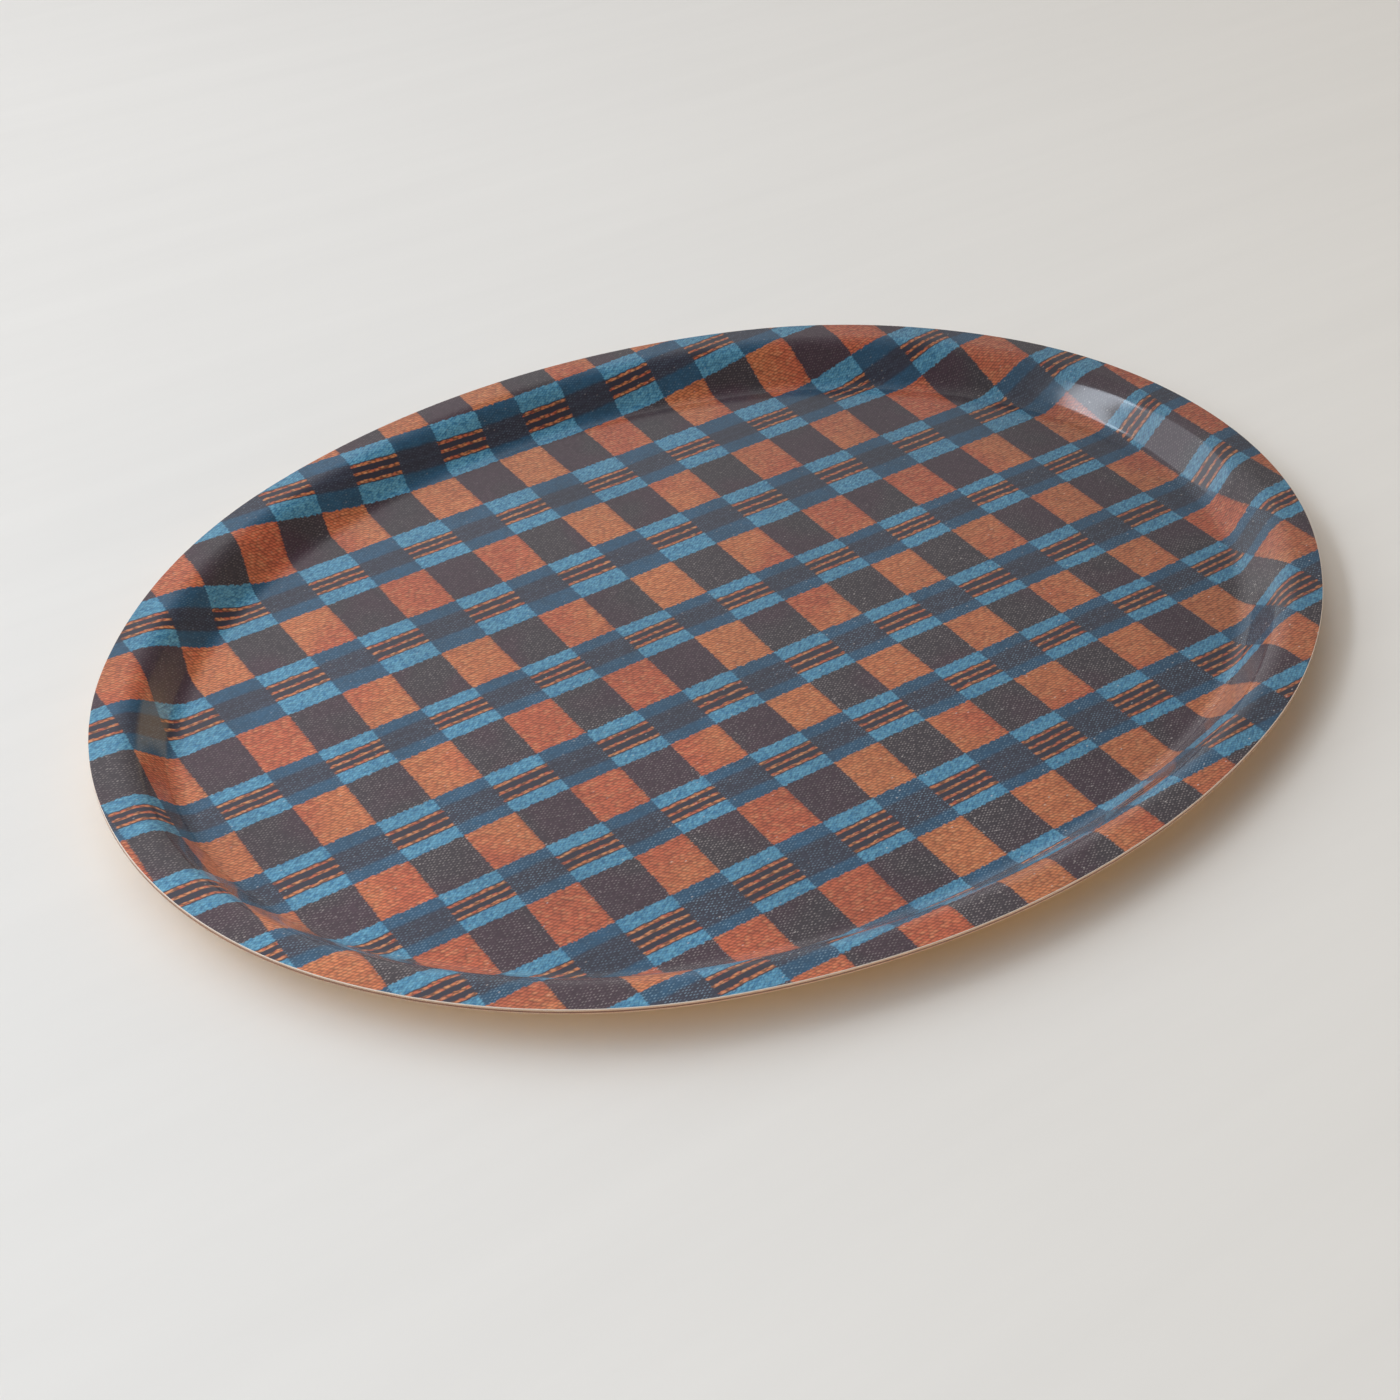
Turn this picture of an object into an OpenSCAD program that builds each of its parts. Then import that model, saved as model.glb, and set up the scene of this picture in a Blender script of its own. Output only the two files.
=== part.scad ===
// Oval serving tray, press-moulded from birch veneers under a printed melamine face.
// The sheets are bonded face to face in one mould and trimmed together at the rim.
// Origin: centre of the underside of the base. +X along the length, +Z up.

/* [Oval] */
// Radius of the two end arcs of the rim
end_radius = 158; // [140:0.5:165]
// Radius of the four haunch arcs between ends and sides
haunch_radius = 221; // [190:0.5:250]
// Radius of the two side arcs of the rim
side_radius = 340; // [300:0.5:360]

/* [Rim profile] */
// Height from the top of the base to the top of the lip
recess_depth = 15.5; // [14:0.5:24]
// Slope of the wall above the base, in degrees
wall_angle = 48; // [38:1:58]
// Radius of the hollow curve where the base turns up into the wall
foot_radius = 9; // [4:0.5:12]
// Radius of the round shoulder where the wall turns out into the lip
shoulder_radius = 12; // [6:0.5:14]
// Width of the straight part of the lip
lip_width = 9; // [4:0.5:16]
// Rise of the lip towards its edge, in degrees
lip_angle = 2; // [0:0.5:6]

/* [Laminate] */
// Thickness of the clear melamine overlay
overlay_thickness = 0.1; // [0.1:0.05:0.2]
// Thickness of the printed decor sheet
print_thickness = 0.15; // [0.1:0.05:0.3]
// Thickness of the upper birch veneer, grain along the tray
face_thickness = 0.6; // [0.5:0.05:0.8]
// Thickness of the middle birch veneer, grain across the tray
core_thickness = 0.65; // [0.5:0.05:0.9]
// Thickness of the lower birch veneer, grain along the tray
back_thickness = 0.6; // [0.5:0.05:0.8]
// Bevel sanded on both corners of the cut edge
edge_bevel = 0.25; // [0.1:0.05:0.4]

/* [Hidden] */
$fn = 240;
// Straight steps that make up each curve of the rim profile
curve_steps = 6;

// Depth of each sheet's upper face below the finished surface
print_depth = overlay_thickness;
face_depth = print_depth + print_thickness;
core_depth = face_depth + face_thickness;
back_depth = core_depth + core_thickness;
laminate = back_depth + back_thickness;

// Directions in which the arcs of the oval meet, from triangles of sides 3-4-5 and 44-117-125
end_joint = [0.8, 0.6];
side_joint = [0.352, 0.936];
// Arc centres of the quarter in front of +X and +Y. Each pair lies on a line through its joint,
// so the arcs are tangent there. The rim is 501 long and 382 wide at the given radii.
end_centre = [end_joint[0] * (haunch_radius - end_radius) + side_joint[0] * (side_radius - haunch_radius), 0];
haunch_centre = end_centre - (haunch_radius - end_radius) * end_joint;
side_centre = haunch_centre - (side_radius - haunch_radius) * side_joint;
// Length of the cutting wedges, well past the rim
reach = 400;
end_cut = end_centre + reach * end_joint;
side_cut = haunch_centre + reach * side_joint;
// Where the joint between haunch and side crosses the long axis
axis_cut = [haunch_centre[0] - haunch_centre[1] * side_joint[0] / side_joint[1], 0];

// Rim profile of the finished surface, measured out from the start of the foot curve
wall_length = (recess_depth - foot_radius * (1 - cos(wall_angle))
    - shoulder_radius * (cos(lip_angle) - cos(wall_angle))
    - lip_width * sin(lip_angle)) / sin(wall_angle);
foot_centre = [0, foot_radius];
wall_end = foot_centre + foot_radius * heading(wall_angle - 90) + wall_length * heading(wall_angle);
shoulder_centre = wall_end + shoulder_radius * heading(wall_angle - 90);
lip_end = shoulder_centre + shoulder_radius * heading(lip_angle + 90) + lip_width * heading(lip_angle);

// Unit vector at an angle from the first axis
function heading(angle) = [cos(angle), sin(angle)];

// Rim profile of a face this deep in the laminate, from the base to the shoulder
function rim_curve(depth) = concat(
    [for (step = [0:curve_steps])
        foot_centre + (foot_radius + depth) * heading(wall_angle * step / curve_steps - 90)],
    [for (step = [0:curve_steps])
        let (angle = wall_angle + (lip_angle - wall_angle) * step / curve_steps)
        shoulder_centre + (shoulder_radius - depth) * heading(angle + 90)]);

// How far the bevels take the cut edge back at this depth in the laminate
function bevel_inset(depth) = max(0, edge_bevel - depth, edge_bevel - laminate + depth);

// Point of the cut edge at this depth in the laminate
function edge_point(depth) = lip_end
    - [bevel_inset(depth), bevel_inset(depth) * tan(lip_angle) + depth / cos(lip_angle)];

// Cut edge of one sheet, with the corners that the bevels give it
function cut_edge(upper, lower) = concat(
    [edge_point(upper)],
    [for (corner = [edge_bevel, laminate - edge_bevel])
        if (corner > upper + 0.01 && corner < lower - 0.01) edge_point(corner)],
    [edge_point(lower)]);

function reversed(points) = [for (i = [len(points) - 1:-1:0]) points[i]];

// Cross-section of one sheet from the centre of an arc out to the cut edge, which lies at x = 0
module sheet_profile(upper, lower, arc_radius) {
    rim = concat(rim_curve(upper), cut_edge(upper, lower), reversed(rim_curve(lower)));
    polygon(concat(
        [[-arc_radius, laminate - lower], [-arc_radius, laminate - upper]],
        [for (point = rim) point + [-lip_end[0], laminate]]));
}

// The part of one sheet that an arc of the rim bounds, cut out by a wedge of the plan
module arc_part(upper, lower, centre, arc_radius, wedge) {
    intersection() {
        translate(centre)
            rotate_extrude()
                translate([arc_radius, 0])
                    sheet_profile(upper, lower, arc_radius);
        translate([0, 0, -reach / 2])
            linear_extrude(reach)
                polygon(wedge);
    }
}

// The same part on both sides of the tray's long axis
module on_both_sides() {
    for (side = [0, 1])
        mirror([0, side, 0])
            children();
}

// The same part at both ends of the tray
module at_both_ends() {
    for (end = [0, 1])
        mirror([end, 0, 0])
            children();
}

// One bonded sheet of the laminate, between two depths below the finished surface
module sheet(upper, lower) {
    at_both_ends() {
        arc_part(upper, lower, end_centre, end_radius,
            [end_centre, [end_cut[0], -end_cut[1]], end_cut]);
        on_both_sides()
            arc_part(upper, lower, haunch_centre, haunch_radius,
                [end_centre, end_cut, side_cut, axis_cut]);
    }
    on_both_sides()
        arc_part(upper, lower, side_centre, side_radius,
            [axis_cut, side_cut, [-side_cut[0], side_cut[1]], -axis_cut]);
}

// Lower birch veneer, which the tray rests on
module back_veneer() {
    color("#d9b98a") sheet(back_depth, laminate);
}

// Middle birch veneer, laid across the other two
module core_veneer() {
    color("#b98d5f") sheet(core_depth, back_depth);
}

// Upper birch veneer, under the print
module face_veneer() {
    color("#e3c9a0") sheet(face_depth, core_depth);
}

// Decor paper with the woven check print
module printed_sheet() {
    color("#4a6478") sheet(print_depth, face_depth);
}

// Clear melamine overlay that seals the print
module overlay_film() {
    color("#5b6b78", 0.4) sheet(0, print_depth);
}

back_veneer();
core_veneer();
face_veneer();
printed_sheet();
overlay_film();
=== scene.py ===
import math

import bpy
from mathutils import Matrix, Quaternion, Vector


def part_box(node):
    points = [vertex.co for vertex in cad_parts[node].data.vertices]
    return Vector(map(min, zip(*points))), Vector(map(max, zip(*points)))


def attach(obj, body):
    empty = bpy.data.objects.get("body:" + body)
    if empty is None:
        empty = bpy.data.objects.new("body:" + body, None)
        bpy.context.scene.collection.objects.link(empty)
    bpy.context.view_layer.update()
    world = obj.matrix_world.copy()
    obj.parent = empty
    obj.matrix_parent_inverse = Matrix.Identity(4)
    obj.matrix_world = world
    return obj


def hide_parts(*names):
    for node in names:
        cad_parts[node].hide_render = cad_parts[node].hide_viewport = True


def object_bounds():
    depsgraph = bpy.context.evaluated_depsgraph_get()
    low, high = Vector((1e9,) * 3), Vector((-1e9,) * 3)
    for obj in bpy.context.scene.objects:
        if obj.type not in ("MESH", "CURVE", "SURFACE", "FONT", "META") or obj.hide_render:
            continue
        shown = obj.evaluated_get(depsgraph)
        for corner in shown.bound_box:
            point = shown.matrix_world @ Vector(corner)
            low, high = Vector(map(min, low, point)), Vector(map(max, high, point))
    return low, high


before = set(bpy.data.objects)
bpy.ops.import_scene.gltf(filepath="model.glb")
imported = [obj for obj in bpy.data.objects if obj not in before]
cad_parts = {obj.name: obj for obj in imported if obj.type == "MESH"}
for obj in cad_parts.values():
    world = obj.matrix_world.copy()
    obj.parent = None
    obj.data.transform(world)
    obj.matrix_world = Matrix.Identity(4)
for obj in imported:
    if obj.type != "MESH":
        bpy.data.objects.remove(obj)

# Oval serving tray, press-moulded from birch veneers under a printed melamine face.
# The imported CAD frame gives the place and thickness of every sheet. This script gives each sheet
# a fine mesh of the same oval and rim profile, its material, and the light and camera around it.
# Lengths are in millimetres until a mesh, lamp or camera is made, and MM turns them into metres.
MM = 0.001
cad_low, cad_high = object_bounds()

# Oval of the cut edge: arcs at the ends, haunches and sides, which meet in these directions
END_RADIUS = 158
HAUNCH_RADIUS = 221
SIDE_RADIUS = 340
END_JOINT = Vector((0.8, 0.6))
SIDE_JOINT = Vector((0.352, 0.936))

# Rim profile of the finished surface
RECESS_DEPTH = 15.5
WALL_ANGLE = math.radians(48)
FOOT_RADIUS = 9
SHOULDER_RADIUS = 12
LIP_WIDTH = 9
LIP_ANGLE = math.radians(2)
EDGE_BEVEL = 0.25

# Height of each sheet's underside at the base, from the frame, and of the finished surface
BASE_HEIGHT = {name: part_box(name)[0].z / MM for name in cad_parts}
OVERLAY_THICKNESS = 0.1
LAMINATE = BASE_HEIGHT["overlay_film"] + OVERLAY_THICKNESS

# Arc centres of the quarter in front of +X and +Y. Each pair lies on a line through its joint.
END_CENTRE = Vector((
    END_JOINT.x * (HAUNCH_RADIUS - END_RADIUS) + SIDE_JOINT.x * (SIDE_RADIUS - HAUNCH_RADIUS), 0))
HAUNCH_CENTRE = END_CENTRE - END_JOINT * (HAUNCH_RADIUS - END_RADIUS)
SIDE_CENTRE = HAUNCH_CENTRE - SIDE_JOINT * (SIDE_RADIUS - HAUNCH_RADIUS)
# The frame's meshes run straight between points of the oval, so they end a little inside it.
# The fine meshes are drawn in by as much, to stay within the frame's box.
DRAWN_IN = END_CENTRE.x + END_RADIUS - cad_high.x / MM

# Fineness of the meshes
RIM_STEP = 2.6
CURVE_STEPS = 9
BEVEL_STEPS = 4
BASE_RINGS = (0.2, 0.4, 0.6, 0.8, 0.93, 0.992)
LIP_ROWS = (0.35, 0.7, 0.9)
SHARP_ANGLE = math.radians(38)


# ---------------------------------------------------------------- shape of the tray

def heading(angle):
    """Unit vector at an angle from the first axis."""
    return Vector((math.cos(angle), math.sin(angle)))


def oval_stations():
    """Arc centre, arc radius and outward direction at even steps around the oval."""
    end_turn = math.atan2(END_JOINT.y, END_JOINT.x)
    side_turn = math.atan2(SIDE_JOINT.y, SIDE_JOINT.x)
    arcs = (
        (END_CENTRE, END_RADIUS - DRAWN_IN, 0, end_turn),
        (HAUNCH_CENTRE, HAUNCH_RADIUS - DRAWN_IN, end_turn, side_turn),
        (SIDE_CENTRE, SIDE_RADIUS - DRAWN_IN, side_turn, math.pi / 2),
    )
    quarter = []
    for centre, radius, start, stop in arcs:
        steps = round(radius * (stop - start) / RIM_STEP)
        for step in range(steps):
            turn = start + (stop - start) * step / steps
            quarter.append((centre, radius, turn))
    quarter.append((SIDE_CENTRE, SIDE_RADIUS - DRAWN_IN, math.pi / 2))
    stations = [(centre, radius, heading(turn)) for centre, radius, turn in quarter]
    back_quarter = [
        (Vector((-centre.x, centre.y)), radius, Vector((-out.x, out.y)))
        for centre, radius, out in reversed(stations[:-1])
    ]
    half = stations + back_quarter
    other_half = [
        (-centre, radius, -out)
        for centre, radius, out in half[1:-1]
    ]
    return half + other_half


def rim_profile():
    """Places along the rim's finished surface: (distance out, height, slope, length along it)."""
    wall_length = (
        RECESS_DEPTH
        - FOOT_RADIUS * (1 - math.cos(WALL_ANGLE))
        - SHOULDER_RADIUS * (math.cos(LIP_ANGLE) - math.cos(WALL_ANGLE))
        - LIP_WIDTH * math.sin(LIP_ANGLE)
    ) / math.sin(WALL_ANGLE)
    quarter_turn = math.pi / 2
    foot_centre = Vector((0, FOOT_RADIUS))
    wall_end = (
        foot_centre
        + FOOT_RADIUS * heading(WALL_ANGLE - quarter_turn)
        + wall_length * heading(WALL_ANGLE)
    )
    shoulder_centre = wall_end + SHOULDER_RADIUS * heading(WALL_ANGLE - quarter_turn)
    rows = []
    for step in range(CURVE_STEPS + 1):
        slope = WALL_ANGLE * step / CURVE_STEPS
        place = foot_centre + FOOT_RADIUS * heading(slope - quarter_turn)
        rows.append((place, slope, FOOT_RADIUS * slope))
    foot_length = FOOT_RADIUS * WALL_ANGLE
    rows.append((rows[-1][0].lerp(wall_end, 0.5), WALL_ANGLE, foot_length + wall_length / 2))
    shoulder_start = foot_length + wall_length
    for step in range(CURVE_STEPS + 1):
        slope = WALL_ANGLE + (LIP_ANGLE - WALL_ANGLE) * step / CURVE_STEPS
        place = shoulder_centre + SHOULDER_RADIUS * heading(slope + quarter_turn)
        rows.append((place, slope, shoulder_start + SHOULDER_RADIUS * (WALL_ANGLE - slope)))
    lip_start = rows[-1][0]
    lip_length = shoulder_start + SHOULDER_RADIUS * (WALL_ANGLE - LIP_ANGLE)
    for share in LIP_ROWS:
        place = lip_start + LIP_WIDTH * share * heading(LIP_ANGLE)
        rows.append((place, LIP_ANGLE, lip_length + LIP_WIDTH * share))
    lip_end = lip_start + LIP_WIDTH * heading(LIP_ANGLE)
    return rows, lip_end, lip_length + LIP_WIDTH


PROFILE, LIP_END, SHEET_WIDTH = rim_profile()
STATIONS = oval_stations()


def level(depth):
    """Rim profile of a face this deep in the laminate, as (out, height, length along it)."""
    places = []
    for place, slope, length in PROFILE:
        inward = depth * heading(slope - math.pi / 2)
        at = place + inward
        places.append((at.x, at.y, length))
    return places


def bevel_inset(depth):
    """How far the rounded corners take the cut edge back at this depth in the laminate."""
    into = max(EDGE_BEVEL - depth, EDGE_BEVEL - LAMINATE + depth, 0)
    return EDGE_BEVEL - math.sqrt(max(EDGE_BEVEL ** 2 - into ** 2, 0))


def cut_edge(upper, lower):
    """Places down the cut edge of one sheet, closer together where its corner is rounded."""
    depths = {upper, lower}
    for step in range(BEVEL_STEPS + 1):
        turn = step / BEVEL_STEPS * math.pi / 2
        corner = EDGE_BEVEL * (1 - math.cos(turn))
        depths.update(d for d in (corner, LAMINATE - corner) if upper < d < lower)
    places = []
    for depth in sorted(depths):
        inset = bevel_inset(depth)
        drop = inset * math.tan(LIP_ANGLE) + depth / math.cos(LIP_ANGLE)
        places.append((LIP_END.x - inset, LIP_END.y - drop, SHEET_WIDTH + depth))
    return places


def ring(out, height, length):
    """One row of vertices around the tray, with each one's place on the flat sheet."""
    inset = out - LIP_END.x
    row = []
    for centre, radius, direction in STATIONS:
        at = centre + (radius + inset) * direction
        foot = centre + (radius - LIP_END.x) * direction
        flat = foot + length * direction
        row.append(((at.x, at.y, LAMINATE + height), (flat.x, flat.y, 0)))
    return row


def base_ring(share, height):
    """One row of vertices across the flat base, inside the foot of the rim."""
    row = []
    for centre, radius, direction in STATIONS:
        at = share * (centre + (radius - LIP_END.x) * direction)
        row.append(((at.x, at.y, LAMINATE + height), (at.x, at.y, 0)))
    return row


def sheet_mesh(name, upper, lower):
    """One pressed sheet as a closed mesh. The faces of its cut edge get the second material."""
    top = [base_ring(share, -upper) for share in BASE_RINGS]
    top += [ring(*place) for place in level(upper)]
    edge = [ring(*place) for place in cut_edge(upper, lower)]
    under = [ring(*place) for place in reversed(level(lower))]
    under += [base_ring(share, -lower) for share in reversed(BASE_RINGS)]
    rows = top + edge + under
    count = len(STATIONS)
    points = [point for row in rows for point in row]
    faces = []
    material = []
    first_edge = len(top)
    last_edge = first_edge + len(edge) - 1
    for i in range(len(rows) - 1):
        for k in range(count):
            after = (k + 1) % count
            lower_row = i * count
            upper_row = lower_row + count
            faces.append((lower_row + k, upper_row + k, upper_row + after, lower_row + after))
            material.append(1 if first_edge <= i < last_edge else 0)
    for start, turn, height in ((0, 1, -upper), ((len(rows) - 1) * count, -1, -lower)):
        middle = len(points)
        points.append(((0, 0, LAMINATE + height), (0, 0, 0)))
        for k in range(count):
            pair = (start + k, start + (k + 1) % count)
            faces.append((middle, *pair[::turn]))
            material.append(0)
    mesh = bpy.data.meshes.new(name)
    mesh.from_pydata([[c * MM for c in place] for place, _ in points], [], faces)
    mesh.polygons.foreach_set("material_index", material)
    flat = mesh.attributes.new("sheet_mm", "FLOAT_VECTOR", "POINT")
    flat.data.foreach_set("vector", [c for _, place in points for c in place])
    mesh.shade_smooth()
    mesh.set_sharp_from_angle(angle=SHARP_ANGLE)
    mesh.update()
    piece = bpy.data.objects.new(name, mesh)
    bpy.context.scene.collection.objects.link(piece)
    return piece


# ---------------------------------------------------------------- shader arithmetic

# Range that smooth noise mostly keeps to
NOISE_LOW = 0.3
NOISE_HIGH = 0.7


def linear(red, green, blue):
    """Linear colour of an sRGB colour given from 0 to 255."""
    def channel(c):
        c /= 255
        return c / 12.92 if c <= 0.04045 else ((c + 0.055) / 1.055) ** 2.4
    return (channel(red), channel(green), channel(blue), 1)


def darker(colour, amount):
    """A plain colour made darker by a factor."""
    return (*[c * amount for c in colour[:3]], 1)


class Value:
    """A number in a shader, so that a pattern can be written as a formula."""

    def __init__(self, shader, socket):
        self.shader = shader
        self.socket = socket

    def __add__(self, other):
        return self.shader.math("ADD", self, other)

    def __sub__(self, other):
        return self.shader.math("SUBTRACT", self, other)

    def __rsub__(self, other):
        return self.shader.math("SUBTRACT", other, self)

    def __mul__(self, other):
        return self.shader.math("MULTIPLY", self, other)

    def __truediv__(self, other):
        return self.shader.math("DIVIDE", self, other)


class Shader:
    """Adds nodes to one material, world or other node tree."""

    def __init__(self, tree):
        self.tree = tree

    def add(self, kind, **settings):
        node = self.tree.nodes.new(kind)
        for name, value in settings.items():
            setattr(node, name, value)
        return node

    def feed(self, socket, value):
        """Links a value made by another node, or sets a plain one."""
        if isinstance(value, Value):
            value = value.socket
        if isinstance(value, bpy.types.NodeSocket):
            self.tree.links.new(value, socket)
        else:
            socket.default_value = value

    def math(self, operation, *terms):
        node = self.add("ShaderNodeMath", operation=operation)
        for socket, term in zip(node.inputs, terms):
            self.feed(socket, term)
        return Value(self, node.outputs[0])

    def absolute(self, x):
        return self.math("ABSOLUTE", x)

    def fraction(self, x):
        return self.math("FRACT", x)

    def larger(self, a, b):
        return self.math("MAXIMUM", a, b)

    def step(self, x, low, high):
        """0 below low and 1 above high, with a smooth change between."""
        node = self.add("ShaderNodeMapRange", interpolation_type="SMOOTHSTEP")
        self.feed(node.inputs["Value"], x)
        self.feed(node.inputs["From Min"], low)
        self.feed(node.inputs["From Max"], high)
        return Value(self, node.outputs["Result"])

    def fit(self, x, low, high, to_low, to_high):
        """x from the range low..high stretched to another range and held there."""
        node = self.add("ShaderNodeMapRange")
        self.feed(node.inputs["Value"], x)
        for socket, value in zip(node.inputs[1:5], (low, high, to_low, to_high)):
            self.feed(socket, value)
        return Value(self, node.outputs["Result"])

    def vary(self, noise, to_low, to_high):
        """Noise stretched to another range from the one that it mostly keeps to."""
        return self.fit(noise, NOISE_LOW, NOISE_HIGH, to_low, to_high)

    def vector(self, x, y, z=0.0):
        node = self.add("ShaderNodeCombineXYZ")
        for socket, value in zip(node.inputs, (x, y, z)):
            self.feed(socket, value)
        return node.outputs[0]

    def parts(self, vector):
        node = self.add("ShaderNodeSeparateXYZ")
        self.feed(node.inputs[0], vector)
        return [Value(self, socket) for socket in node.outputs]

    def noise(self, place, size, detail=2.0, roughness=0.5):
        """Smooth noise from 0 to 1, with lumps of about this size."""
        node = self.add("ShaderNodeTexNoise")
        self.feed(node.inputs["Vector"], place)
        self.feed(node.inputs["Scale"], 1 / size)
        self.feed(node.inputs["Detail"], detail)
        self.feed(node.inputs["Roughness"], roughness)
        return Value(self, node.outputs["Fac"])

    def threads(self, across, along, turn, length, width, uneven):
        """Short thread floats on a slanted lattice, turned from the first axis by an angle.

        Returns the distance from each one's middle, which is about 0.5 at its ends, and two random
        numbers from 0 to 1 that are the same all over one float."""
        lengthwise = (across * math.cos(turn) + along * math.sin(turn)) / length
        sideways = (along * math.cos(turn) - across * math.sin(turn)) / width
        node = self.add("ShaderNodeTexVoronoi", voronoi_dimensions="2D")
        self.feed(node.inputs["Vector"], self.vector(lengthwise + sideways * 0.5, sideways))
        self.feed(node.inputs["Scale"], 1.0)
        self.feed(node.inputs["Randomness"], uneven)
        first, second, _ = self.parts(node.outputs["Color"])
        return Value(self, node.outputs["Distance"]), first, second

    def blend(self, share, low, high):
        """Colour between low and high."""
        node = self.add("ShaderNodeMix", data_type="RGBA")
        self.feed(node.inputs[0], share)
        self.feed(node.inputs[6], low)
        self.feed(node.inputs[7], high)
        return node.outputs[2]

    def shade(self, colour, amount):
        """Colour made lighter or darker by a factor."""
        node = self.add("ShaderNodeVectorMath", operation="SCALE")
        self.feed(node.inputs[0], colour)
        self.feed(node.inputs["Scale"], amount)
        return node.outputs[0]

    def bump(self, height, distance, normal=None):
        """Surface relief from a height of 0 to 1, this many metres deep."""
        node = self.add("ShaderNodeBump")
        self.feed(node.inputs["Height"], height)
        self.feed(node.inputs["Distance"], distance)
        if normal is not None:
            self.feed(node.inputs["Normal"], normal)
        return node.outputs[0]


def new_material(name):
    """A node material, with its shader to add to and its Principled node."""
    material = bpy.data.materials.new(name)
    material.use_nodes = True
    surface = material.node_tree.nodes["Principled BSDF"]
    return material, Shader(material.node_tree), surface


# ---------------------------------------------------------------- the woven check

# Columns of squares, the share of a column that is rust, and how far warp and weft lean
COLUMN_PITCH = 43.25
FIRST_COLUMN = -4.6
RUST_SHARE = 0.482
WARP_LEAN = math.tan(math.radians(0.6))
WEFT_LEAN = math.tan(math.radians(0.9))

# Stripe bands that cross the columns between the rows of squares, from front to back. The cloth was
# woven by hand, so no two are alike. Each has its middle, its height, the number and spacing of its
# cords, and how far they lie off its middle.
BANDS = (
    (-167.5, 23, 3, 3.7, 0),
    (-120, 25, 4, 3.6, -0.5),
    (-74, 21, 3, 3.5, 0),
    (-31, 23, 3, 4.1, -0.2),
    (16, 22, 3, 3.6, 0.3),
    (65.5, 27, 3, 4.2, 1.0),
    (118, 27, 3, 3.8, -1.0),
    (170, 27, 3, 3.8, 0),
)

# How far the threads of the whole cloth drift, and over what length
DRIFT = 2.2
DRIFT_LENGTH = 60.0

# Borders of the blocks: their softness, the pitch and depth of the weft's steps, and how far the
# threads fray across and along. Frayed lumps are this share as long as a thread is.
BORDER = 0.28
WEFT_PITCH = 1.2
WEFT_STEP = 0.55
FRAY_ACROSS = 1.3
FRAY_ALONG = 1.9
THREAD_STRETCH = 0.05

# Thread floats: slant from the first axis, length, width and unevenness
RUST_FLOATS = (math.radians(8), 1.75, 1.15, 0.36)
CORD_FLOATS = (math.radians(14), 1.9, 1.3, 0.8)
TWILL_FLOATS = (math.radians(32), 1.45, 1.02, 0.30)
STRAY_FLOATS = (math.radians(32), 4.2, 3.4, 1.0)

# Cords: distance from the middle where the colour stops and where it is full, how far a cord
# wanders and how much its width changes, and how far the outer cords reach past their middles
CORD_OUTER = 0.86
CORD_INNER = 0.42
CORD_WANDER = 1.1
CORD_WAVER = 0.7
CORD_MARGIN = 1.15

# The middle column of rust is more faded than the others, out to this distance from its middle
FADED_INNER = 18.0
FADED_OUTER = 22.0

# The warp shows less from the front of the cloth to the back, between these two places
WORN_FRONT = -130.0
WORN_BACK = 110.0

# Painted light fall-off across the print: brighter towards the -X end, where the window lamp is,
# and darker towards the +X end, as painted light and shade. Distance of the two ends from the
# middle, and brightness at the lit end and at the shaded end
PAINTED_FALLOFF_REACH = 210.0
PAINTED_LIT_BRIGHTNESS = 1.17
PAINTED_SHADE_BRIGHTNESS = 0.73

RUST = linear(186, 92, 60)
TAN = linear(196, 118, 72)
BRICK = linear(124, 50, 34)
STRAW = linear(214, 158, 110)
CHARCOAL = linear(61, 41, 51)
GREENISH = linear(51, 48, 51)
PALE_FLECK = linear(172, 160, 156)
SPARK = linear(226, 214, 206)
SKY = linear(42, 104, 140)
LIGHT_SKY = linear(90, 149, 174)
PETROL = linear(35, 83, 114)
DEEP_PETROL = linear(25, 59, 82)
PETROL_FLECK = linear(128, 156, 174)
NAVY = linear(44, 40, 53)
SLATE = linear(50, 51, 65)


def cloth_places(s):
    """Places in mm across and along the cloth, which drifts and leans a little on the sheet."""
    flat = s.add("ShaderNodeAttribute", attribute_name="sheet_mm").outputs["Vector"]
    x, y, _ = s.parts(flat)
    x = x + (s.noise(flat, DRIFT_LENGTH, 1.0) - 0.5) * DRIFT
    y = y + (s.noise(s.vector(y, x, 40.0), DRIFT_LENGTH, 1.0) - 0.5) * DRIFT
    return x + y * WARP_LEAN, y - x * WEFT_LEAN


def frayed_places(s, across, along):
    """The same places for the borders of the blocks, which are stepped and frayed like threads."""
    saw = s.fraction(along / WEFT_PITCH + 0.3) - 0.5
    ragged = s.noise(s.vector(across * THREAD_STRETCH, along, 3.0), 1.5, 1.0) - 0.5
    frayed = s.noise(s.vector(across, along * THREAD_STRETCH, 7.0), 1.3, 1.0) - 0.5
    return across + saw * WEFT_STEP + ragged * FRAY_ACROSS, along + frayed * FRAY_ALONG


def nearest_band(s, along):
    """The values of the stripe band nearest to each place, in the order that BANDS gives them."""
    values = list(BANDS[0])
    for before, after in zip(BANDS, BANDS[1:]):
        border = (before[0] + before[1] / 2 + after[0] - after[1] / 2) / 2
        past = s.math("GREATER_THAN", along, border)
        values = [
            past * (following - leading) + value
            for value, leading, following in zip(values, before, after)
        ]
    return values


def cord_pattern(s, across, along, band):
    """Where the cords of a stripe band are, from 0 to 1, and the distance outside all of them."""
    middle, _, cords, spacing, offset = band
    wander = s.noise(s.vector(across, along * 0.15, 13.0), 3.0, 2.0, 0.6) - 0.5
    place = along - middle - offset + wander * CORD_WANDER
    turn = place / spacing + cords / 2
    from_cord = s.absolute(s.fraction(turn) - 0.5) * spacing
    cord = s.step(from_cord + wander * CORD_WAVER, CORD_OUTER, CORD_INNER)
    corded_half = (cords - 1.0) * spacing / 2 + CORD_MARGIN
    return cord, s.absolute(place) - corded_half


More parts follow.
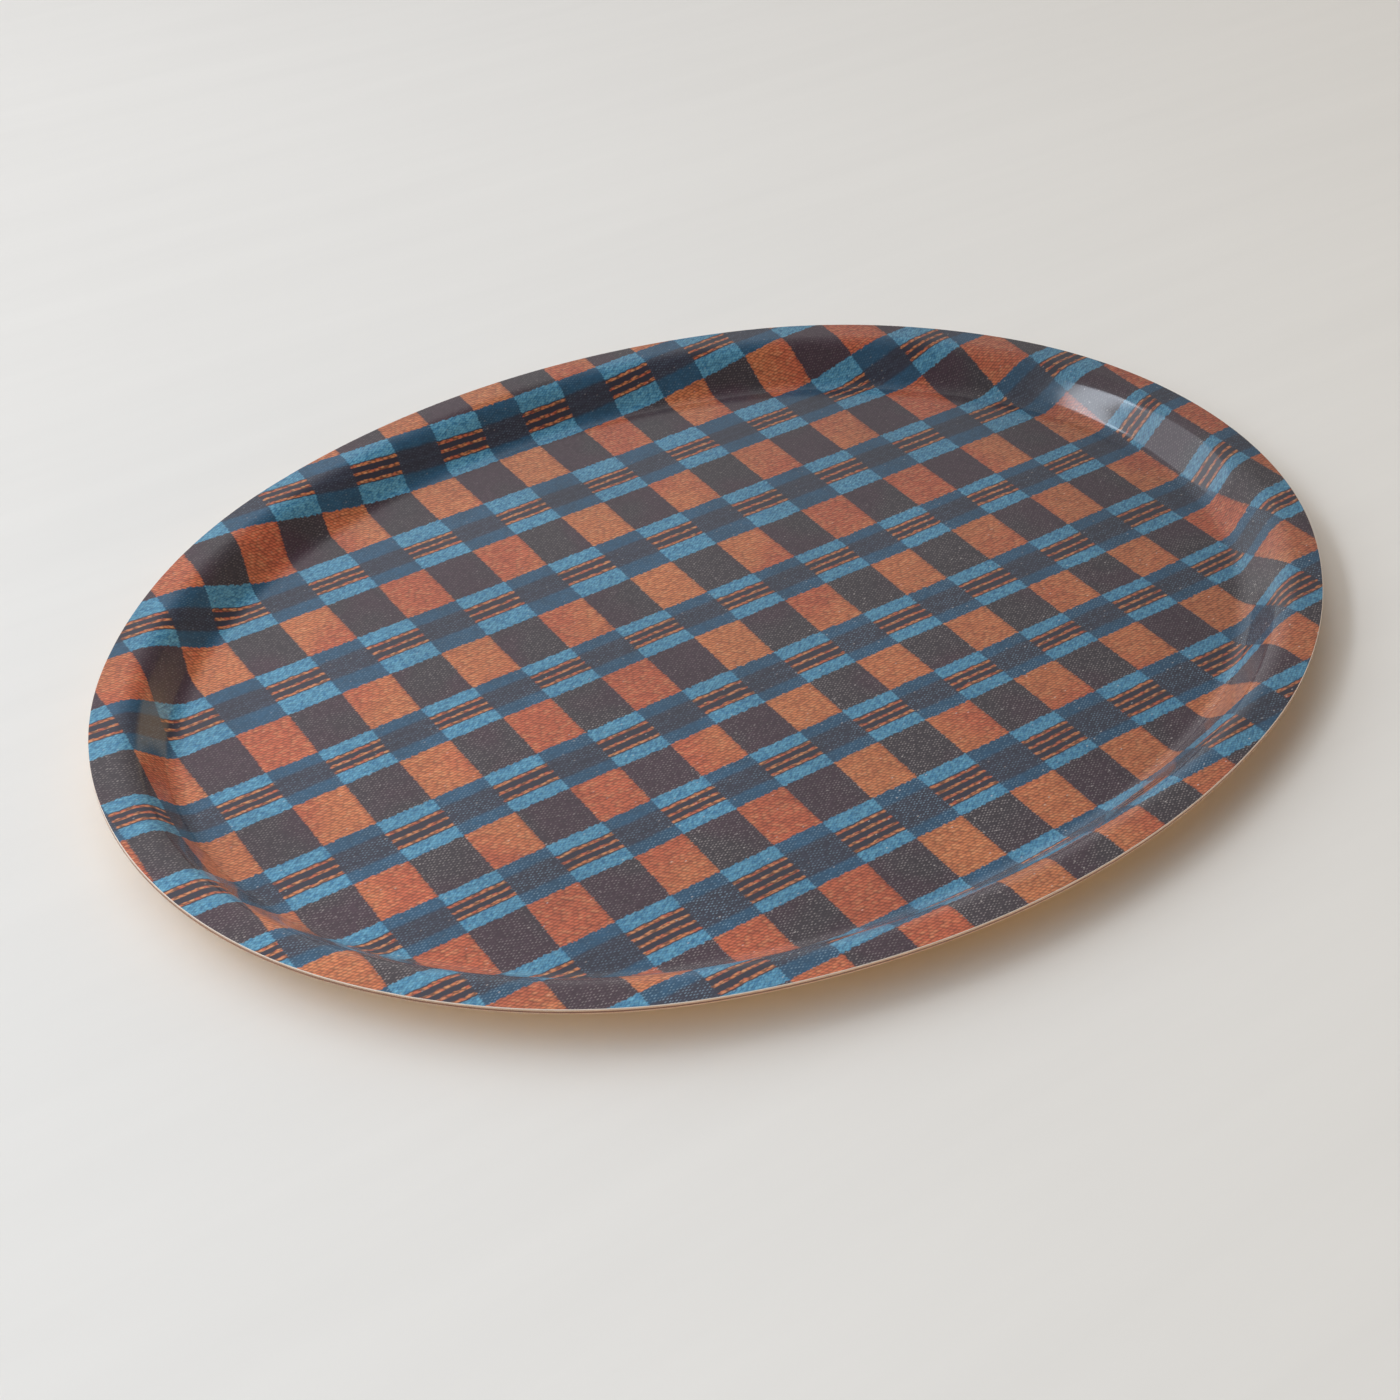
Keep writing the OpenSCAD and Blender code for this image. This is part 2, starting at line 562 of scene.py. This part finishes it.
def rust_tint(s, across, along):
    """How faded the rust is: most in the middle column, and in patches elsewhere."""
    faded = s.step(s.absolute(across - FIRST_COLUMN), FADED_OUTER, FADED_INNER)
    patch = s.noise(s.vector(across, along, 21.0), 58.0, 1.0)
    return s.larger(faded * 0.85, s.step(patch, 0.44, 0.60) * 0.7)


def rust_colour(s, across, along, side, tint):
    """Rust squares: weft floats in several dyes, with dark gaps between them."""
    rust = s.blend(tint, RUST, TAN)
    rust = s.blend(s.step(side, 8.6, 10.4) * 0.4, rust, BRICK)
    ends, dye, lustre = s.threads(across, along, *RUST_FLOATS)
    rust = s.blend(s.step(dye, 0.34, 0.06) * 0.30, rust, BRICK)
    rust = s.blend(s.step(dye, 0.60, 1.0) * 0.24, rust, STRAW)
    rust = s.shade(rust, s.fit(ends, 0.22, 0.58, 1.12, 0.54))
    slubs = s.noise(s.vector(across / 16.0, along / 1.1, 5.0), 1.0, 1.0)
    return s.shade(rust, s.fit(slubs + lustre * 0.12, 0.35, 0.80, 0.86, 1.16))


def flecked_colour(s, ground, fleck, amount, floats):
    """Plain ground with paler flecks of warp on the slant of the twill."""
    ends, pale, lustre = floats
    shown = s.step(ends, 0.40, 0.12) * s.step(pale, -0.1, 0.9)
    ground = s.shade(ground, s.fit(lustre, 0.0, 1.0, 0.84, 1.12))
    return s.blend(shown * amount, ground, fleck)


def cord_colour(s, across, along, cord):
    """Orange cords and the dark weft between them."""
    ends, dye, lustre = s.threads(across, along, *CORD_FLOATS)
    twisted = s.blend(s.step(dye, 0.25, 0.6), RUST, TAN)
    twisted = s.blend(s.step(lustre, 0.55, 0.95) * 0.45, twisted, STRAW)
    twisted = s.shade(twisted, s.fit(ends, 0.25, 0.62, 1.10, 0.34))
    return s.blend(cord * 0.88, NAVY, twisted)


def sky_colour(s, across, along, floats):
    """Sky blue stripes, streaked with a lighter dye on the slant of the twill."""
    ends, dye, lustre = floats
    streak = s.noise(s.vector(across / 1.3 - along / 1.6, along / 1.5, 4.0), 1.0, 2.0, 0.65)
    sky = s.blend(s.step(streak + dye * 0.25, 0.36, 0.86), SKY, LIGHT_SKY)
    sky = s.shade(sky, s.fit(ends, 0.2, 0.62, 1.12, 0.78))
    return s.shade(sky, s.fit(lustre, 0.0, 1.0, 0.9, 1.1))


def petrol_colour(s, across, along, cord, outside):
    """Petrol stripes, with slate and navy where the cords run under the rust columns."""
    petrol = s.blend(s.noise(s.vector(across, along, 2.0), 14.0, 2.0), DEEP_PETROL, PETROL)
    crossing = s.blend(cord * 0.6, NAVY, SLATE)
    return s.blend(s.step(outside, 1.2, -0.6) * 0.92, petrol, crossing)


def woven_check(s):
    """Colour of the print with painted light fall-off across it, and the place across and along the
    cloth.
    """
    across, along = cloth_places(s)
    frayed_across, frayed_along = frayed_places(s, across, along)
    turn = s.fraction((frayed_across - FIRST_COLUMN) / COLUMN_PITCH + 0.5)
    column_place = (turn - 0.5) * COLUMN_PITCH
    rust_half = COLUMN_PITCH * RUST_SHARE / 2
    column = s.step(s.absolute(column_place) - rust_half, BORDER, -BORDER)
    band = nearest_band(s, along)
    middle, height = band[:2]
    in_band = s.step(s.absolute(frayed_along - middle) - height / 2, BORDER, -BORDER)

    # the pale warp shows more towards the front of the cloth, and in patches
    clouds = s.noise(s.vector(across, along, 11.0), 34.0, 1.0)
    twill = s.threads(across, along, *TWILL_FLOATS)
    worn_forward = s.fit(along, WORN_FRONT, WORN_BACK, 1.0, 0.34)
    worn = worn_forward * s.fit(clouds, 0.35, 0.65, 0.65, 1.25)

    # squares: rust columns on charcoal
    rust = rust_colour(s, across, along, column_place, rust_tint(s, across, along))
    charcoal = s.blend(s.step(clouds, 0.42, 0.60) * 0.7, CHARCOAL, GREENISH)
    charcoal = flecked_colour(s, charcoal, PALE_FLECK, worn * 0.46, twill)
    squares = s.blend(column, charcoal, rust)

    # stripes: sky blue and cords across the charcoal, petrol across the rust
    cord, outside = cord_pattern(s, across, along, band)
    sky = sky_colour(s, across, along, twill)
    corded = s.step(outside, 0.3, -0.3)
    striped = s.blend(corded, sky, cord_colour(s, across, along, cord))
    petrol = petrol_colour(s, across, along, cord, outside)
    petrol = flecked_colour(s, petrol, PETROL_FLECK, worn * 0.5, twill)
    stripes = s.blend(column, striped, petrol)

    colour = s.blend(in_band, squares, stripes)
    fading = s.noise(s.vector(across, along, 30.0), 45.0, 2.0)
    colour = s.shade(colour, s.vary(fading, 0.90, 1.10))
    # painted light fall-off: brighter towards the window lamp's end, painted shade towards the
    # other
    painted_light_falloff = s.fit(across, -PAINTED_FALLOFF_REACH, PAINTED_FALLOFF_REACH, PAINTED_LIT_BRIGHTNESS, PAINTED_SHADE_BRIGHTNESS)
    colour = s.shade(colour, painted_light_falloff)

    # stray bright fibres, one here and there
    stray, chance, _ = s.threads(across, along, *STRAY_FLOATS)
    spark = s.step(stray, 0.12, 0.05) * s.step(chance, 0.88, 0.92)
    return s.blend(spark * worn * 0.4, colour, SPARK), across, along


# ---------------------------------------------------------------- the printed face

# Depth in metres of the slow waves that the press leaves and of the melamine's fine grain
PRESS_DEPTH = 0.00012
GRAIN_DEPTH = 0.000003
CLEAR_IOR = 1.5


def print_material():
    """Woven-check print sealed under satin melamine."""
    material, s, surface = new_material("woven_check_melamine")
    colour, across, along = woven_check(s)
    s.feed(surface.inputs["Base Color"], colour)
    handling = s.noise(s.vector(across, along, 50.0), 38.0, 3.0, 0.6)
    s.feed(surface.inputs["Roughness"], s.vary(handling, 0.50, 0.62))
    surface.inputs["IOR"].default_value = CLEAR_IOR
    surface.inputs["Specular IOR Level"].default_value = 0.15
    surface.inputs["Coat Weight"].default_value = 1.0
    surface.inputs["Coat Roughness"].default_value = 0.12
    surface.inputs["Coat IOR"].default_value = CLEAR_IOR
    press = s.noise(s.vector(across, along, 60.0), 26.0, 2.0)
    grain = s.noise(s.vector(across, along, 70.0), 0.7, 2.0)
    relief = s.bump(grain, GRAIN_DEPTH, normal=s.bump(press, PRESS_DEPTH))
    s.feed(surface.inputs["Normal"], relief)
    s.feed(surface.inputs["Coat Normal"], relief)
    return material


PAPER = linear(232, 220, 208)
PAPER_SHADE = linear(206, 188, 172)
PAPER_FIBRE = 0.0012
PAPER_DEPTH = 0.00003


def paper_edge_material():
    """Cut and sanded edge of the print's paper and resin."""
    material, s, surface = new_material("paper_edge")
    place = s.add("ShaderNodeTexCoord").outputs["Object"]
    fibre = s.noise(place, PAPER_FIBRE, 3.0, 0.7)
    s.feed(surface.inputs["Base Color"], s.blend(fibre, PAPER_SHADE, PAPER))
    surface.inputs["Roughness"].default_value = 0.5
    s.feed(surface.inputs["Normal"], s.bump(fibre, PAPER_DEPTH))
    return material


# ---------------------------------------------------------------- birch

# Depth in metres of the relief of fibres and pores on a veneer's face, and of pores in its cut edge
FACE_RELIEF = 0.00004
EDGE_RELIEF = 0.00005
# How far the long figure of the grain bends, in mm
FIGURE_BEND = 26.0
# How much darker end grain is than the same wood cut along its fibres, in its pale and dark parts
END_GRAIN_PALE = 0.78
END_GRAIN_DARK = 0.62

PALE_BIRCH = linear(244, 208, 146)
HONEY_BIRCH = linear(230, 182, 116)
PALE_EDGE = linear(222, 192, 166)
EDGE_STREAK = linear(190, 146, 112)
CORE_BROWN = linear(152, 100, 68)
CORE_DARK = linear(110, 66, 44)


def grain_places(s, along_tray):
    """Places in mm on a veneer: along its fibres, across them and through them."""
    place = s.add("ShaderNodeTexCoord").outputs["Object"]
    x, y, z = s.parts(place)
    x, y, z = x / MM, y / MM, z / MM
    return (x, y, z) if along_tray else (y, x, z)


def birch_material(name, pale, dark, along_tray, finish):
    """Rotary-cut birch: long soft figure, fine fibres and short pores, under a thin lacquer."""
    material, s, surface = new_material(name)
    along, across, through = grain_places(s, along_tray)
    # places are multiplied by lumps per mm, so small factors make long lumps
    bend = (s.noise(s.vector(along * 0.012, across * 0.03, 1.0), 1.0, 2.0) - 0.5) * FIGURE_BEND
    figure_place = s.vector(along * 0.004, (across + bend) * 0.11, through * 0.5)
    figure = s.noise(figure_place, 1.0, 3.0, 0.55)
    fibres = s.noise(s.vector(along * 0.03, across * 2.2, through * 2.2), 1.0, 3.0, 0.6)
    pores = s.noise(s.vector(along * 0.22, across * 3.4, 5.0), 1.0, 1.0)
    pores = s.step(pores, 0.66, 0.76)
    patches = s.noise(s.vector(along * 0.02, across * 0.02, 9.0), 1.0, 2.0)
    colour = s.blend(s.step(figure, NOISE_LOW, NOISE_HIGH), pale, dark)
    colour = s.shade(colour, s.vary(fibres, 0.90, 1.08))
    colour = s.shade(colour, 1.0 - pores * 0.16)
    colour = s.shade(colour, s.vary(patches, 0.94, 1.05))
    s.feed(surface.inputs["Base Color"], colour)
    s.feed(surface.inputs["Roughness"], s.vary(fibres, finish, finish + 0.12))
    surface.inputs["Coat Weight"].default_value = 0.25
    surface.inputs["Coat Roughness"].default_value = 0.35
    s.feed(surface.inputs["Normal"], s.bump(fibres - pores * 0.6, FACE_RELIEF))
    return material


def birch_edge_material(name, pale, dark, along_tray):
    """Cut edge of a veneer: streaks where the cut runs with the fibres, dark pores across them."""
    material, s, surface = new_material(name)
    along, across, through = grain_places(s, along_tray)
    normal = s.parts(s.add("ShaderNodeNewGeometry").outputs["Normal"])
    facing = s.absolute(normal[0] if along_tray else normal[1])
    end_grain = s.step(facing, 0.15, 0.85)
    streaks = s.noise(s.vector(along * 0.12, across * 0.12, through * 7.0), 1.0, 3.0, 0.6)
    pores = s.noise(s.vector(along * 3.0, across * 3.0, through * 5.0), 1.0, 2.0, 0.7)
    long_face = s.blend(s.step(streaks, 0.35, 0.70), pale, dark)
    cut_pale, cut_dark = darker(pale, END_GRAIN_PALE), darker(dark, END_GRAIN_DARK)
    cut_face = s.blend(s.step(pores, 0.42, 0.66), cut_pale, cut_dark)
    s.feed(surface.inputs["Base Color"], s.blend(end_grain, long_face, cut_face))
    surface.inputs["Roughness"].default_value = 0.5
    surface.inputs["Coat Weight"].default_value = 0.3
    surface.inputs["Coat Roughness"].default_value = 0.3
    s.feed(surface.inputs["Normal"], s.bump(pores, EDGE_RELIEF))
    return material


# ---------------------------------------------------------------- camera, light and floor

# The camera's aim on the table, its distance, heading (from +Y towards +X), pitch and lean
AIM = Vector((-33, -26, 0))
DISTANCE = 810
HEADING = math.radians(33.83)
PITCH = math.radians(39.48)
LEAN = math.radians(0.28)
LENS = 55.17
SENSOR = 36

# Soft lights: turn from +X and height in degrees, distance, width and height in metres, power in
# watts, colour, how far the light leans in degrees, and whether the tray mirrors it
WINDOWS = (
    ("window", 178, 46.5, 1.8, 1.85, 0.29, 12.5, (0.80, 0.89, 1.0), -30, True),
    ("back_window", 135, 38, 2.0, 1.8, 1.3, 10.5, (0.86, 0.91, 1.0), 0, True),
    ("ceiling", 96, 66, 2.4, 2.0, 1.5, 9.0, (1.0, 0.98, 0.95), 0, False),
)

# The room: where it is palest, as a turn and height in degrees, and its colours there, on the
# opposite side, and low down on that side
PALEST = (115, 18)
ROOM_PALE = (1.02, 1.02, 1.02, 1)
ROOM_DARK = (0.21, 0.208, 0.206, 1)
ROOM_GLOW = (1.75, 1.24, 0.72, 1)

# Half the floor's width, and how far it lies below the tray, in metres
FLOOR_HALF = 6.0
FLOOR_DROP = 0.0001


def make_camera():
    look = Vector((
        math.sin(HEADING) * math.cos(PITCH),
        math.cos(HEADING) * math.cos(PITCH),
        -math.sin(PITCH),
    ))
    data = bpy.data.cameras.new("camera")
    data.lens = LENS
    data.sensor_width = SENSOR
    camera = bpy.data.objects.new("camera", data)
    level_turn = look.to_track_quat("-Z", "Y").to_matrix().to_4x4()
    lean = Matrix.Rotation(LEAN, 4, "Z")
    place = Matrix.Translation((AIM - look * DISTANCE) * MM)
    camera.matrix_world = place @ level_turn @ lean
    bpy.context.scene.collection.objects.link(camera)
    bpy.context.scene.camera = camera


def direction(turn, height):
    """Unit vector at a turn from +X and a height above the horizon, in degrees."""
    turn, height = math.radians(turn), math.radians(height)
    return Vector((
        math.cos(turn) * math.cos(height),
        math.sin(turn) * math.cos(height),
        math.sin(height),
    ))


def make_window(name, turn, height, distance, width, tall, power, colour, lean, mirrored):
    """A soft rectangular light that faces the tray from a direction."""
    data = bpy.data.lights.new(name, "AREA")
    data.shape = "RECTANGLE"
    data.size = width
    data.size_y = tall
    data.energy = power
    data.color = colour
    lamp = bpy.data.objects.new(name, data)
    toward = direction(turn, height)
    lamp.location = toward * distance
    lamp.rotation_mode = "QUATERNION"
    upright = toward.to_track_quat("Z", "Y")
    lamp.rotation_quaternion = upright @ Quaternion((0, 0, 1), math.radians(lean))
    lamp.visible_camera = False
    lamp.visible_glossy = mirrored
    bpy.context.scene.collection.objects.link(lamp)


def make_world():
    """A room that is pale behind the tray and dark opposite, with a warm glow low down there."""
    world = bpy.data.worlds.new("room")
    world.use_nodes = True
    bpy.context.scene.world = world
    s = Shader(world.node_tree)
    ground = world.node_tree.nodes["Background"]
    toward = s.add("ShaderNodeTexCoord").outputs["Generated"]
    dot = s.add("ShaderNodeVectorMath", operation="DOT_PRODUCT")
    s.feed(dot.inputs[0], toward)
    dot.inputs[1].default_value = direction(*PALEST)
    facing = Value(s, dot.outputs["Value"])
    colour = s.blend(s.step(facing, 0.05, 1.0), ROOM_DARK, ROOM_PALE)
    # the glow reaches under the rim, which the light from above doesn't
    _, _, up = s.parts(toward)
    glow = s.step(up, 0.34, 0.05) * s.step(facing, 0.35, -0.25)
    s.feed(ground.inputs["Color"], s.blend(glow, colour, ROOM_GLOW))
    ground.inputs["Strength"].default_value = 1.0


def floor_material():
    """Off-white painted board, a little warmer towards one side."""
    material, s, surface = new_material("painted_floor")
    place = s.add("ShaderNodeTexCoord").outputs["Object"]
    x, y, _ = s.parts(place)
    brush = s.noise(s.vector(x * 3.0, y * 40.0), 1.0, 3.0, 0.6)
    cloud = s.noise(place, 0.35, 3.0)
    colour = s.blend(cloud, linear(226, 223, 218), linear(232, 229, 224))
    warm_side = s.step(x * 0.8 - y * 0.6, -0.3, 0.6)
    colour = s.blend(warm_side, colour, linear(234, 229, 221))
    colour = s.shade(colour, s.vary(brush, 0.985, 1.01))
    s.feed(surface.inputs["Base Color"], colour)
    surface.inputs["Roughness"].default_value = 0.6
    surface.inputs["Specular IOR Level"].default_value = 0.3
    return material


def make_floor():
    mesh = bpy.data.meshes.new("floor")
    sides = ((-1, -1), (1, -1), (1, 1), (-1, 1))
    corners = [(x * FLOOR_HALF, y * FLOOR_HALF, -FLOOR_DROP) for x, y in sides]
    mesh.from_pydata(corners, [], [(0, 1, 2, 3)])
    floor = bpy.data.objects.new("floor", mesh)
    floor.data.materials.append(floor_material())
    bpy.context.scene.collection.objects.link(floor)


# ---------------------------------------------------------------- the pieces

def make_pieces():
    depth = {name: LAMINATE - height for name, height in BASE_HEIGHT.items()}
    birch = birch_material("birch_lacquered", PALE_BIRCH, HONEY_BIRCH, True, 0.38)
    cross_birch = birch_material("birch_cross", PALE_BIRCH, HONEY_BIRCH, False, 0.6)
    pale_edge = birch_edge_material("birch_edge", PALE_EDGE, EDGE_STREAK, True)
    brown_edge = birch_edge_material("birch_core_edge", CORE_BROWN, CORE_DARK, False)
    # name, depth of the upper face, node with the lower face, surface and edge materials, slot,
    # and nodes that the piece stands for
    sheets = (
        ("printed_face", 0, "printed_sheet", print_material(), paper_edge_material(),
         "print", ("overlay_film", "printed_sheet")),
        ("upper_birch_veneer", depth["printed_sheet"], "face_veneer", birch, pale_edge,
         "birch_face", ("face_veneer",)),
        ("middle_birch_veneer", depth["face_veneer"], "core_veneer", cross_birch, brown_edge,
         "birch_core", ("core_veneer",)),
        ("lower_birch_veneer", depth["core_veneer"], "back_veneer", birch, pale_edge,
         "birch_back", ("back_veneer",)),
    )
    for name, upper, lowest, surface, edge, slot, nodes in sheets:
        piece = sheet_mesh(name, upper, depth[lowest])
        piece.data.materials.append(surface)
        piece.data.materials.append(edge)
        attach(piece, "root")
        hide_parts(*nodes)


make_camera()
make_world()
for window in WINDOWS:
    make_window(*window)
make_floor()
make_pieces()
bpy.context.scene.view_settings.view_transform = "Standard"
